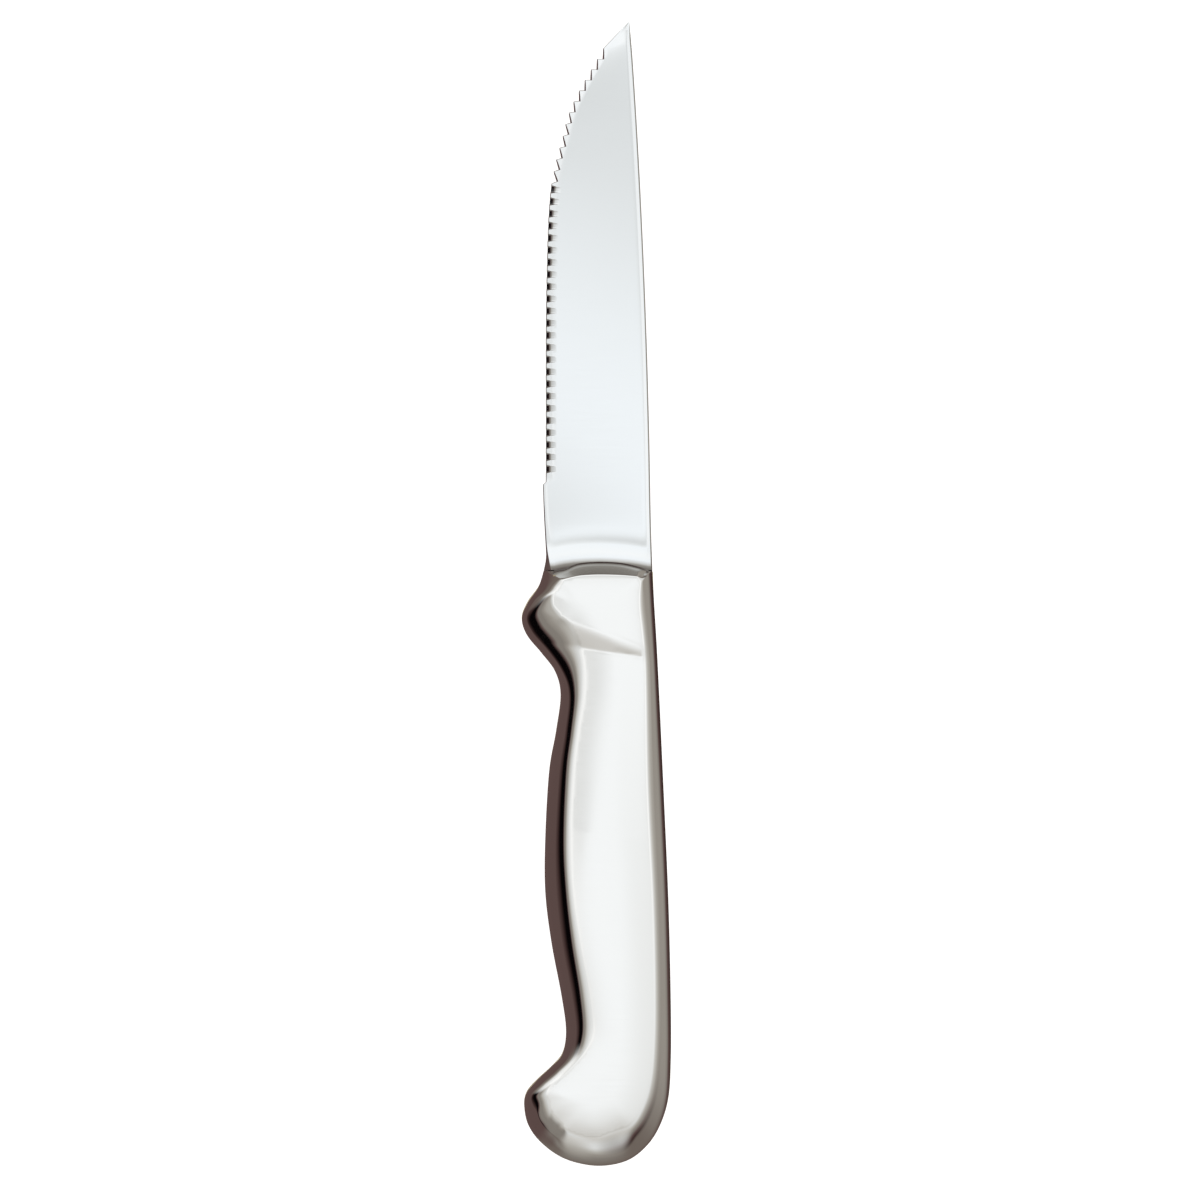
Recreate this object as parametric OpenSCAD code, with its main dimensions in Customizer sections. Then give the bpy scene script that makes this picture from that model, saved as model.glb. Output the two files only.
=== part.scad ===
// Steak knife with a serrated blade and a hollow handle. The blade, its bolster and its tang are one forging.
// The handle is two stamped half shells, soldered edge to edge, and cement holds the tang inside them.
// Lengths are in millimetres. The knife lies on its side: +Y runs to the tip, +X to the spine, +Z up.

/* [Blade] */
// Length of the blade, from its shoulder at the handle to the tip
blade_length = 108; // [96:1:125]
// Width of the blade at its heel
blade_width = 21; // [18:0.5:24]
// Thickness of the spine where the blade leaves the bolster
spine_thickness = 1.6; // [1.2:0.1:2.2]
// Thickness of the spine near the tip
tip_thickness = 1; // [0.8:0.1:1.4]
// Thickness of the blade just behind the edge bevel
body_thickness = 0.7; // [0.5:0.05:1]
// Thickness left at the edge itself
edge_thickness = 0.16; // [0.1:0.02:0.3]
// Width of the bevel along the edge
bevel_width = 0.7; // [0.4:0.1:1.2]
// Width of the rounded band along the spine
spine_band = 0.9; // [0.5:0.1:1.4]
// Width of the blunted point
point_width = 0.3; // [0.2:0.05:0.6]

/* [Teeth] */
// Distance from one tooth point to the next
tooth_pitch = 2.4; // [2:0.1:3.2]
// Radius of the wheel that grinds each scallop
scallop_radius = 1.35; // [1.1:0.05:2]
// Depth of a scallop in the outline near the tip
tip_scallop = 1; // [0.6:0.1:1.2]
// Depth of a scallop in the outline near the heel
heel_scallop = 0.4; // [0.2:0.1:1]
// Angle in degrees between a scallop's floor and the blade's face
grind_angle = 32; // [24:1:50]

/* [Heel, bolster and tang] */
// Length of the plain heel, from the shoulder to the first tooth
heel_length = 17.4; // [13:0.2:22]
// How far the plain heel stands out past the tooth points
heel_step = 0.6; // [0.3:0.1:1]
// Full thickness of the bolster where it meets the handle
bolster_thickness = 5.4; // [4:0.2:7]
// Thickness of the bolster at its edge side
bolster_edge = 2.2; // [1.4:0.2:3]
// Width of the bolster's rounding on the edge side
bolster_round = 2.1; // [1.4:0.1:3]
// Length of the hollow fillet between the blade's face and the bolster
fillet_length = 5.4; // [3:0.2:9]
// Distance from the shoulder to where the fillet is at its full thickness
fillet_end = 1.2; // [0.6:0.1:2]
// Length of the root that passes through the handle's mouth
root_length = 4.5; // [3:0.5:8]
// How far the root's edge side is set in from the blade's edge
root_edge_inset = 2; // [1.6:0.1:3]
// How far the root's spine side is set in from the spine
root_spine_inset = 1.3; // [1:0.1:2]
// Length of the tang, from the shoulder to its end
tang_length = 78; // [50:1:95]
// Width of the tang where it leaves the root
tang_width = 9; // [6:0.5:12]
// Width of the tang at its end
tang_end_width = 6; // [4:0.5:9]
// Thickness of the tang
tang_thickness = 3.2; // [2:0.2:4.4]
// Radius of the keying notches in the tang
notch_radius = 1; // [0.6:0.1:1.4]
// Distance from one keying notch to the next
notch_pitch = 18; // [10:1:25]

/* [Handle] */
// Length of the handle, from the shoulder to the butt
handle_length = 117.4; // [105:1:130]
// Width of the handle, from the guard's point to the spine
handle_width = 29.4; // [26:0.5:33]
// Thickness of the handle
handle_thickness = 13; // [11:0.5:16]
// Thickness of the stamped sheet
wall = 0.9; // [0.6:0.1:1.2]
// Thickness of the solder between the half shells
solder_thickness = 0.12; // [0.08:0.02:0.3]
// Depth of the thumb scoop behind the guard
scoop_depth = 0.35; // [0.2:0.05:0.6]
// Distance from the shoulder to the front of the scoop
scoop_start = 12.8; // [10:0.2:18]
// Length of the scoop's short front slope
scoop_front = 3.6; // [2:0.2:6]
// Length of the scoop's long rear slope
scoop_rear = 34; // [20:1:45]
// Slant of the scoop across the handle in degrees
scoop_slant = 19; // [0:1:30]
// How far the cement reaches past the end of the tang
cement_cover = 5; // [2:1:15]

/* [Hidden] */
half_thickness = handle_thickness / 2;
half_solder = solder_thickness / 2;
// Every cut runs past the surface that it opens by this much
overrun = 1;
curve_steps = 3;
rim_steps = 7;
lining_steps = 5;
round_facets = 24;

// Spine of the blade: how far up the blade, and how far in from the shoulder's spine corner
spine_shares = [
    [0, 0], [0.09, -0.014], [0.24, -0.028], [0.42, -0.053], [0.6, -0.089],
    [0.785, -0.137], [0.93, -0.184], [1, -0.214]
];
// Plain heel: how far up the heel, and how far across the blade from the spine corner to the edge
heel_shares = [
    [0, -1.018], [0.14, -0.998], [0.34, -1.004], [0.6, -1.016], [1, -1.028]
];
// Line of the tooth points from the heel to the clip: how far up the blade, and how far across it
tooth_shares = [
    [0.161, -1], [0.3, -1], [0.46, -0.999], [0.57, -0.988], [0.64, -0.976], [0.697, -0.953],
    [0.743, -0.912], [0.787, -0.851], [0.831, -0.793], [0.87, -0.705], [0.91, -0.59], [0.953, -0.46]
];
// Rim of the handle, from the edge corner of the mouth round the guard and the butt to the spine corner.
// Each row holds a point of the outline and the point of the flat face that the rim rounds over to, as
// shares of the handle's width (from its middle) and length (from the shoulder).
rim_shares = [
    [-0.352, 0, -0.224, 0.017], [-0.389, 0.028, -0.278, 0.029], [-0.462, 0.055, -0.315, 0.044],
    [-0.5, 0.081, -0.308, 0.062], [-0.466, 0.109, -0.261, 0.078], [-0.365, 0.14, -0.184, 0.101],
    [-0.275, 0.171, -0.094, 0.146], [-0.24, 0.21, -0.084, 0.202], [-0.271, 0.271, -0.13, 0.266],
    [-0.317, 0.338, -0.151, 0.333], [-0.343, 0.449, -0.177, 0.449], [-0.343, 0.54, -0.165, 0.537],
    [-0.301, 0.626, -0.12, 0.622], [-0.235, 0.713, -0.053, 0.708], [-0.204, 0.772, -0.04, 0.769],
    [-0.227, 0.811, -0.114, 0.806], [-0.301, 0.833, -0.241, 0.838], [-0.399, 0.856, -0.342, 0.858],
    [-0.47, 0.878, -0.373, 0.874], [-0.483, 0.902, -0.36, 0.888], [-0.452, 0.934, -0.315, 0.908],
    [-0.358, 0.964, -0.265, 0.928], [-0.204, 0.989, -0.184, 0.938], [0.004, 1, -0.016, 0.951],
    [0.198, 0.992, 0.151, 0.949], [0.332, 0.968, 0.242, 0.931], [0.423, 0.934, 0.302, 0.907],
    [0.481, 0.888, 0.363, 0.871], [0.499, 0.823, 0.401, 0.816], [0.499, 0.722, 0.405, 0.718],
    [0.483, 0.553, 0.395, 0.553], [0.448, 0.352, 0.355, 0.353], [0.41, 0.15, 0.331, 0.153],
    [0.388, 0.057, 0.314, 0.059], [0.375, 0, 0.299, 0.02]
];
// Rolled lip over the mouth, from the spine corner back to the edge corner, in the same shares
lip_shares = [
    [0.292, -0.008, 0.245, 0.012], [0.158, -0.014, 0.145, 0.01], [0.01, -0.015, 0.024, 0.009],
    [-0.124, -0.012, -0.077, 0.011], [-0.244, -0.005, -0.157, 0.013]
];
// The row of the rim that lies at the end of the butt
butt_row = 23;
// Where the shoulder's spine corner lies across the handle
spine_corner_share = 0.375;
// Where the tang's axis lies across the blade at the root, and across the handle at the tang's end
tang_root_share = 0.5;
tang_end_share = 0.06;
// How much thinner the blade gets, on each side, for its width close to the point
point_slope_share = 0.3;
// The most of the blade's width that the bevel or the spine band takes close to the point
narrow_share = 0.42;
// The most of the blade's thickness that the edge takes close to the point
edge_most_share = 0.9;
// Width of the clip's bevel, as a share of the bevel along the teeth
clip_bevel_share = 1.2;
// Thickness of the spine's flat, as a share of the spine's thickness
spine_flat_share = 0.4;
// The part of the teeth, from the tip, over which the scallops get shallower
scallop_fade_share = 0.36;
// Where the bolster's edge rounding starts to grow, as a share of the heel
heel_round_share = 0.8;
// Stations along the fillet and along the bare blade, as shares of their lengths
fillet_station_shares = [0, 0.125, 0.25, 0.375, 0.5, 0.625, 0.75, 0.875, 1];
clip_station_shares = [0.2, 0.4, 0.6, 0.8, 0.92, 1];

spine_corner = spine_corner_share * handle_width;
heel_corner = heel_shares[len(heel_shares) - 1][1] * blade_width;
clip_start = tooth_shares[len(tooth_shares) - 1][0] * blade_length;
bare_start = fillet_end + fillet_length;

function mix(a, b, t) = a + (b - a) * t;
function clamp(value, low, high) = max(low, min(high, value));

// Smooth curve through the rows p0 to p3, between p1 and p2
function spline_point(p0, p1, p2, p3, t) =
    (2 * p1 + (p2 - p0) * t + (2 * p0 - 5 * p1 + 4 * p2 - p3) * t * t
        + (3 * p1 - p0 - 3 * p2 + p3) * t * t * t) / 2;

// Open smooth curve through all the rows, without its last point
function spline(rows) = [
    for (i = [0 : len(rows) - 2])
        let (
            before = i > 0 ? rows[i - 1] : 2 * rows[0] - rows[1],
            after = i < len(rows) - 2 ? rows[i + 2] : 2 * rows[i + 1] - rows[i]
        )
        for (k = [0 : curve_steps - 1])
            spline_point(before, rows[i], rows[i + 1], after, k / curve_steps)
];

// Slope of a table at its row i
function slope(rows, i) =
    let (a = rows[max(i - 1, 0)], b = rows[min(i + 1, len(rows) - 1)])
    (b[1] - a[1]) / (b[0] - a[0]);

// Smooth value of a table at a place along its first column
function smooth(rows, at) =
    let (
        found = [for (i = [0 : len(rows) - 2]) if (at >= rows[i][0]) i],
        i = len(found) > 0 ? found[len(found) - 1] : 0,
        run = rows[i + 1][0] - rows[i][0],
        t = clamp((at - rows[i][0]) / run, 0, 1),
        rise = rows[i + 1][1] - rows[i][1],
        m0 = slope(rows, i) * run,
        m1 = slope(rows, i + 1) * run
    )
    rows[i][1] + m0 * t + (3 * rise - 2 * m0 - m1) * t * t + (m0 + m1 - 2 * rise) * t * t * t;

// Outline of the blade, measured from the shoulder's spine corner
function spine_x(y) = smooth(spine_shares, y / blade_length) * blade_width;
function tooth_x(y) = smooth(tooth_shares, y / blade_length) * blade_width;
function heel_x(y) = smooth(heel_shares, y / heel_length) * blade_width
    + (tooth_shares[0][1] * blade_width - heel_step - heel_corner) * y / heel_length;
function clip_x(y) =
    mix(tooth_x(clip_start), spine_x(blade_length) - point_width, (y - clip_start) / (blade_length - clip_start));
function edge_x(y) = y < heel_length ? heel_x(y) : y < clip_start ? tooth_x(y) : clip_x(y);
function body_width(y) = spine_x(y) - edge_x(y);

// Half thicknesses of the blade: fillet_rise is 0 on the bare blade and 1 on the bolster
fillet_half_rise = (bolster_thickness - spine_thickness) / 2;
fillet_radius = (fillet_length * fillet_length + fillet_half_rise * fillet_half_rise) / (2 * fillet_half_rise);
function fillet_rise(y) =
    let (in = clamp(bare_start - y, 0, fillet_length))
    (fillet_radius - sqrt(fillet_radius * fillet_radius - in * in)) / fillet_half_rise;
function heel_share(y) = clamp(1 - y / (heel_length * heel_round_share), 0, 1);
function point_limit(y) = edge_thickness / 2 + point_slope_share * body_width(y);
function spine_half(y) = min(
    point_limit(y),
    mix(mix(spine_thickness, tip_thickness, clamp((y - bare_start) / (blade_length - bare_start), 0, 1)),
        bolster_thickness, fillet_rise(y)) / 2
);
function body_half(y) = min(point_limit(y), mix(body_thickness, bolster_thickness, fillet_rise(y)) / 2);
function edge_half(y) = min(
    body_half(y) * edge_most_share,
    mix(edge_thickness, bolster_edge, heel_share(y) * heel_share(y)) / 2
);
function bevel_at(y) = min(
    narrow_share * body_width(y),
    mix(bevel_width, bolster_round, heel_share(y)) * (y > clip_start ? clip_bevel_share : 1)
);
function band_at(y) = min(narrow_share * body_width(y), spine_band);

// Half a section at y, from the edge over the face to the spine, as [x, z]
section_steps = 4;
function face_section(y) = concat(
    [for (k = [0 : section_steps])
        let (angle = 90 * k / section_steps, bulge = heel_share(y))
        [edge_x(y) + bevel_at(y) * mix(angle / 90, 1 - cos(angle), bulge),
            mix(edge_half(y), body_half(y), mix(angle / 90, sin(angle), bulge))]],
    [for (k = [0 : section_steps])
        let (angle = 90 - 90 * k / section_steps)
        [spine_x(y) - band_at(y) * (1 - cos(angle)),
            mix(spine_flat_share * spine_half(y), spine_half(y), sin(angle))]]
);
function full_section(y) =
    let (face = face_section(y), n = len(face))
    concat([for (p = face) [p[0], y, p[1]]], [for (k = [1 : n]) [face[n - k][0], y, -face[n - k][1]]]);

// Faces of a solid through rings of n points each, closed at both ends
function side_faces(rings, n) = [
    for (r = [0 : rings - 2], i = [0 : n - 1])
        let (a = r * n + i, b = r * n + (i + 1) % n, c = b + n, d = a + n)
        for (face = [[a, d, c], [a, c, b]]) face
];
// Closes a section whose second half mirrors its first, at either end of the solid
function cap_faces(base, n, high) = [
    for (i = [0 : n / 2 - 2])
        let (a = base + i, b = a + 1, c = base + n - 2 - i, d = c + 1)
        for (face = high ? [[a, d, c], [a, c, b]] : [[a, b, c], [a, c, d]]) face
];

module blade_body(stations) {
    sections = [for (y = stations) full_section(y)];
    n = len(sections[0]);
    polyhedron(
        points = [for (s = sections) each s],
        faces = concat(
            cap_faces(0, n, false),
            side_faces(len(sections), n),
            cap_faces((len(sections) - 1) * n, n, true)
        )
    );
}

bolster_stations = concat(
    [0],
    [for (s = fillet_station_shares) fillet_end + s * fillet_length]
);
heel_station_count = 4;
tooth_station_count = 26;
blade_stations = concat(
    bolster_stations,
    [for (k = [1 : heel_station_count]) mix(bare_start, heel_length, k / (heel_station_count + 1))],
    [heel_length],
    [for (k = [0 : tooth_station_count])
        mix(heel_length + heel_step, clip_start, k / tooth_station_count)],
    [for (s = clip_station_shares) mix(clip_start, blade_length, s)]
);

// Line of the tooth points as [length along it, x, y], from the clip back to the heel
tooth_walk_steps = 90;
tooth_line = [
    for (k = [0 : tooth_walk_steps])
        let (y = mix(clip_start, heel_length + heel_step, k / tooth_walk_steps)) [tooth_x(y), y]
];
function walked(k) = k == 0 ? 0 : walked(k - 1) + norm(tooth_line[k] - tooth_line[k - 1]);
tooth_reach = [for (k = [0 : tooth_walk_steps]) walked(k)];
tooth_total = tooth_reach[tooth_walk_steps];
tooth_count = floor(tooth_total / tooth_pitch);
x_by_reach = [for (k = [0 : tooth_walk_steps]) [tooth_reach[k], tooth_line[k][0]]];
y_by_reach = [for (k = [0 : tooth_walk_steps]) [tooth_reach[k], tooth_line[k][1]]];
function tooth_place(s) = [lookup(s, x_by_reach), lookup(s, y_by_reach)];

// Section of the grinding wheel's rim, over the floor of the groove that it cuts
scallop_steps = 10;
scallop_section = concat(
    [for (k = [0 : scallop_steps])
        let (angle = 180 + 180 * k / scallop_steps) scallop_radius * [cos(angle), 1 + sin(angle)]],
    [[scallop_radius, scallop_radius + overrun], [-scallop_radius, scallop_radius + overrun]]
);

// One scallop: a round groove whose floor climbs from the back of the edge to the front face
module scallop(s, depth) {
    at = tooth_place(s);
    along = tooth_place(s - tooth_pitch / 2) - tooth_place(s + tooth_pitch / 2);
    reach = bevel_width + body_thickness / tan(grind_angle) + overrun;
    translate([at[0], at[1], 0])
        rotate([0, 0, atan2(along[1], along[0]) - 90])
            translate([depth, 0, -edge_thickness / 2])
                rotate([0, -grind_angle, 0])
                    translate([-reach, 0, 0])
                        rotate([90, 0, 90])
                            linear_extrude(height = 2 * reach) polygon(scallop_section);
}

module scallops() {
    for (k = [0 : tooth_count - 1])
        scallop(
            (k + 0.5) * tooth_pitch,
            mix(tip_scallop, heel_scallop, clamp(k / (scallop_fade_share * tooth_count), 0, 1))
        );
}

// The part of the blade that passes through the handle's mouth: a bar with round sides
root_radius = bolster_thickness / 2;
root_edge = edge_x(0) + root_edge_inset;
root_spine = spine_x(0) - root_spine_inset;
root_steps = 8;
root_section = concat(
    [for (k = [0 : root_steps])
        let (angle = 90 + 180 * k / root_steps)
        [root_edge + root_radius * (1 + cos(angle)), root_radius * sin(angle)]],
    [for (k = [0 : root_steps])
        let (angle = 270 + 180 * k / root_steps)
        [root_spine - root_radius * (1 - cos(angle)), root_radius * sin(angle)]]
);
module root_bar() {
    translate([0, overrun, 0])
        rotate([90, 0, 0])
            linear_extrude(height = root_length + overrun) polygon(root_section);
}

tang_start_x = -tang_root_share * blade_width;
tang_end_x = tang_end_share * handle_width - spine_corner;
notch_count = floor((tang_length - root_length) / notch_pitch - 0.5);
function tang_axis(y) = mix(tang_start_x, tang_end_x, -y / tang_length);
function tang_half_width(y) = mix(tang_width, tang_end_width, -y / tang_length) / 2;
module tang_plan() {
    difference() {
        polygon([
            [tang_start_x - tang_width / 2, -root_length + overrun],
            [tang_end_x - tang_end_width / 2, -tang_length],
            [tang_end_x + tang_end_width / 2, -tang_length],
            [tang_start_x + tang_width / 2, -root_length + overrun]
        ]);
        for (k = [1 : notch_count], side = [-1, 1])
            let (y = -root_length - k * notch_pitch)
            translate([tang_axis(y) + side * tang_half_width(y), y])
                circle(r = notch_radius, $fn = round_facets);
    }
}
module tang() {
    translate([0, 0, -tang_thickness / 2])
        linear_extrude(height = tang_thickness) tang_plan();
}

// What the half shells leave room for at their mouth
module mouth_room() {
    blade_body(bolster_stations);
    root_bar();
}

// The handle's rim as [outline point, face point] in millimetres, in order round the handle
rim_rows = concat(
    spline(rim_shares),
    spline(concat([rim_shares[len(rim_shares) - 1]], lip_shares, [rim_shares[0]]))
);
outline = [for (r = rim_rows) [r[0] * handle_width - spine_corner, -r[1] * handle_length]];
face_line = [for (r = rim_rows) [r[2] * handle_width - spine_corner, -r[3] * handle_length]];
rim_count = len(outline);
function inward(i) = (face_line[i] - outline[i]) / norm(face_line[i] - outline[i]);
lining = [for (i = [0 : rim_count - 1]) outline[i] + wall * inward(i)];

// Triangles over the flat inside of one ring of the rim, between its edge side and its spine side, which
// both run from the middle of the lip to the end of the butt
lip_middle = (len(rim_shares) - 1) * curve_steps + floor((len(lip_shares) + 1) / 2) * curve_steps;
butt_end = butt_row * curve_steps;
edge_chain = [for (k = [0 : rim_count - lip_middle + butt_end]) (lip_middle + k) % rim_count];
spine_chain = [for (k = [lip_middle - 1 : -1 : butt_end + 1]) k];
function strip(i, j) =
    let (more_edge = i < len(edge_chain) - 1, more_spine = j < len(spine_chain) - 1)
    !more_edge && !more_spine ? [] :
    !more_spine || (more_edge && face_line[edge_chain[i + 1]][1] >= face_line[spine_chain[j + 1]][1])
        ? concat([[edge_chain[i], spine_chain[j], edge_chain[i + 1]]], strip(i + 1, j))
        : concat([[edge_chain[i], spine_chain[j], spine_chain[j + 1]]], strip(i, j + 1));
flat_faces = strip(0, 0);
function flat_up(base) = [for (f = flat_faces) [for (i = f) base + i]];
function flat_down(base) = [for (f = flat_faces) [for (k = [2 : -1 : 0]) base + f[k]]];

// Ring of a skin that rounds over from start at the seam to the flat face at the height top
function skin_ring(start, top, angle, low) = [
    for (i = [0 : rim_count - 1])
        let (p = mix(start[i], face_line[i], 1 - cos(angle)))
        [p[0], p[1], mix(low, top, sin(angle))]
];

// A half shell with its seam facing down
module half_shell_skin() {
    outer = [for (k = [0 : rim_steps])
        skin_ring(outline, half_thickness, 90 * k / rim_steps, half_solder)];
    inner = [for (k = [0 : lining_steps])
        skin_ring(lining, half_thickness - wall, 90 * k / lining_steps, half_solder)];
    n = rim_count;
    base = len(outer) * n;
    seam_faces = [
        for (i = [0 : n - 1])
            let (j = (i + 1) % n)
            for (face = [[i, j, base + j], [i, base + j, base + i]]) face
    ];
    inner_faces = concat(side_faces(len(inner), n), flat_up((len(inner) - 1) * n));
    polyhedron(
        points = [for (ring = concat(outer, inner)) each ring],
        faces = concat(
            seam_faces,
            side_faces(len(outer), n),
            flat_up((len(outer) - 1) * n),
            [for (face = inner_faces) [for (k = [1 : len(face)]) base + face[len(face) - k]]]
        )
    );
}

// The thumb scoop: a shallow wedge, slanted across the handle
module scoop() {
    rise = half_thickness + overrun;
    translate([-spine_corner, -scoop_start, 0])
        rotate([0, 0, -scoop_slant])
            rotate([90, 0, 90])
                translate([0, 0, -handle_width])
                    linear_extrude(height = 2 * handle_width)
                        polygon([
                            [0, half_thickness],
                            [0, rise],
                            [-scoop_front - scoop_rear, rise],
                            [-scoop_front - scoop_rear, half_thickness],
                            [-scoop_front, half_thickness - scoop_depth]
                        ]);
}

module half_shell() {
    difference() {
        half_shell_skin();
        scoop();
        mouth_room();
    }
}

// The room inside the two half shells
module cavity() {
    rings = concat(
        [for (k = [0 : lining_steps])
            skin_ring(lining, wall - half_thickness, 90 - 90 * k / lining_steps, -half_solder)],
        [for (k = [0 : lining_steps])
            skin_ring(lining, half_thickness - wall, 90 * k / lining_steps, half_solder)]
    );
    polyhedron(
        points = [for (ring = rings) each ring],
        faces = concat(
            flat_down(0), side_faces(len(rings), rim_count), flat_up((len(rings) - 1) * rim_count)
        )
    );
}

// The solder runs round the seam from one side of the mouth to the other
module solder_plan() {
    difference() {
        polygon(outline);
        polygon(lining);
        translate([-handle_width, 0]) square([2 * handle_width, handle_length]);
        translate([root_edge, -root_length]) square([root_spine - root_edge, root_length + overrun]);
    }
}

// Moves the shoulder's spine corner to its place in the frame
low_x = min([for (p = outline) p[0]]);
high_x = max([for (p = outline) p[0]]);
low_y = min([for (p = outline) p[1]]);
module place() {
    translate([-(low_x + high_x) / 2, -(low_y + blade_length) / 2, half_thickness]) children();
}

module blade() {
    color("lightsteelblue") place() {
        difference() {
            blade_body(blade_stations);
            scallops();
        }
        root_bar();
        tang();
    }
}

module front_half_shell() {
    color("silver") place() half_shell();
}

module back_half_shell() {
    color("gainsboro") place() mirror([0, 0, 1]) half_shell();
}

module seam_solder() {
    color("darkgoldenrod") place()
        translate([0, 0, -half_solder]) linear_extrude(height = solder_thickness) solder_plan();
}

module tang_cement() {
    color("tan") place()
        difference() {
            cavity();
            translate([-2 * handle_width, -handle_length - overrun, -half_thickness])
                cube([4 * handle_width, handle_length + overrun - tang_length - cement_cover, handle_thickness]);
            mouth_room();
            tang();
        }
}

blade();
front_half_shell();
back_half_shell();
seam_solder();
tang_cement();
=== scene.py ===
"""Steak knife: the looks of its forged blade and its hollow handle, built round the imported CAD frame.

The classes hold lengths in millimetres, measured from the spine corner of the blade's shoulder: +Y runs to
the tip, +X to the spine and +Z up from the plane of the seam. Meshes are put in the frame, in metres, as
they are made.
"""

import logging
import math
from collections.abc import Callable, Sequence
from dataclasses import dataclass
from enum import Enum
from functools import partial

import bmesh
import bpy
import numpy as np
from bpy.types import ID, Material, Node, NodeInputs, NodeSocket, NodeTree, Object, World
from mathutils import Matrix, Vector
from mathutils.geometry import delaunay_2d_cdt


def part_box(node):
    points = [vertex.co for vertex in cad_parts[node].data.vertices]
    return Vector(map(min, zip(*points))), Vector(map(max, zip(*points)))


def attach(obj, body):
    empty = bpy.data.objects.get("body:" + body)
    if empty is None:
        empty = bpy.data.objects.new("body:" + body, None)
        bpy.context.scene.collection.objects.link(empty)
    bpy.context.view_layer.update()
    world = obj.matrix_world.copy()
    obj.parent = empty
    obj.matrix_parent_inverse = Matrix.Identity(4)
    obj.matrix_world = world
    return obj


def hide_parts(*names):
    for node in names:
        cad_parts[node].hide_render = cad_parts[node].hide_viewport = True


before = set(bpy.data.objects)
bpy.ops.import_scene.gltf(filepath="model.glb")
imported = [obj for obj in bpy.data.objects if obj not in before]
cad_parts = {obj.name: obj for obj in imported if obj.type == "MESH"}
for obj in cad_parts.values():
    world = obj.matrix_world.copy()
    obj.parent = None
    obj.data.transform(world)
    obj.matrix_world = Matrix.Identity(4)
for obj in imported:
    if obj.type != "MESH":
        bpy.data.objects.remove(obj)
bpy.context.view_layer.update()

LOG = logging.getLogger("steak_knife")
MM = 0.001
# The distance at which doubled points merge, in metres.
MERGE_DISTANCE = MM / 10_000
HALF_TURN = 180
WHITE = "ffffff"
FULL_BYTE = 255
# The sRGB curve: the end and the slope of its straight start, then the lift and the power of the rest.
SRGB_KNEE, SRGB_SLOPE, SRGB_LIFT, SRGB_POWER = 0.04045, 12.92, 0.055, 2.4
# How a rounding's points are shared out between its foot, its shoulder and its run.
FOOT_SHARE = 0.5
SHOULDER_SHARE = 0.7
# What is asked when a line is filled with triangles: only those inside it, and the error in millimetres.
INSIDE_ONLY = 1
FILL_TOLERANCE = 1e-6

Numbers = float | np.ndarray
Rows = tuple[tuple[float, ...], ...]


class Side(Enum):
    """The half of the handle that a shell makes, with the sign of its height above the seam."""

    FRONT = 1
    BACK = -1


class Work(Enum):
    """What one closed mesh does to another, with Blender's word for it."""

    CUT = "DIFFERENCE"
    JOIN = "UNION"


class Tone(Enum):
    """The tones of the studio's walls, from the lamps to the dark gaps between them."""

    GLARE = "f9f8f6"
    ROOF = "f4f5f5"
    SHADE = "e3e3e1"
    LENS = "d5d5d3"
    HAZE = "c9c6c1"
    MIST = "b0aca5"
    ASH = "938d85"
    STONE = "7f7972"
    SLATE = "6b615a"
    BROWN = "594744"
    UMBER = "382826"
    BLACK = "050304"


GLARE, ROOF, SHADE, LENS, HAZE, MIST, ASH, STONE, SLATE, BROWN, UMBER, BLACK = Tone


def linear(hex_colour: str) -> tuple[float, float, float, float]:
    """Turn an sRGB hex value into a linear colour.

    Args:
        hex_colour: The colour as six hex digits.

    Returns:
        Red, green, blue and an alpha of 1.
    """
    red, green, blue = (
        share / SRGB_SLOPE if share <= SRGB_KNEE else ((share + SRGB_LIFT) / (1 + SRGB_LIFT)) ** SRGB_POWER
        for share in (byte / FULL_BYTE for byte in bytes.fromhex(hex_colour))
    )
    return red, green, blue, 1.0


def mix(a: Numbers, b: Numbers, share: Numbers) -> Numbers:
    """Return the value that lies at a share of the way from a to b."""
    return a + (b - a) * share


def smooth(rows: Rows | np.ndarray, at: Numbers) -> Numbers:
    """Look up a table of two columns along its first one, with smooth slopes between its rows.

    Args:
        rows: The table.
        at: The places to look up.

    Returns:
        The value of the second column at each place.
    """
    place, value = np.array(rows).T
    last = len(rows) - 1
    ahead = np.minimum(np.arange(last + 1) + 1, last)
    behind = np.maximum(np.arange(last + 1) - 1, 0)
    slopes = (value[ahead] - value[behind]) / (place[ahead] - place[behind])
    i = np.clip(np.searchsorted(place, at, side="right") - 1, 0, last - 1)
    run = place[i + 1] - place[i]
    rise = value[i + 1] - value[i]
    t = np.clip((at - place[i]) / run, 0, 1)
    start, end = slopes[i] * run, slopes[i + 1] * run
    return value[i] + start * t + (3 * rise - 2 * start - end) * t**2 + (start + end - 2 * rise) * t**3


def spline(rows: np.ndarray, steps: int) -> np.ndarray:
    """Sample the open smooth curve through some rows, without its last point.

    Args:
        rows: One point a row, with any number of columns.
        steps: The samples taken between one row and the next.

    Returns:
        The sampled points, one a row.
    """
    at = np.arange((len(rows) - 1) * steps) / steps
    return np.column_stack([smooth(tuple(enumerate(column)), at) for column in rows.T])


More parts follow.
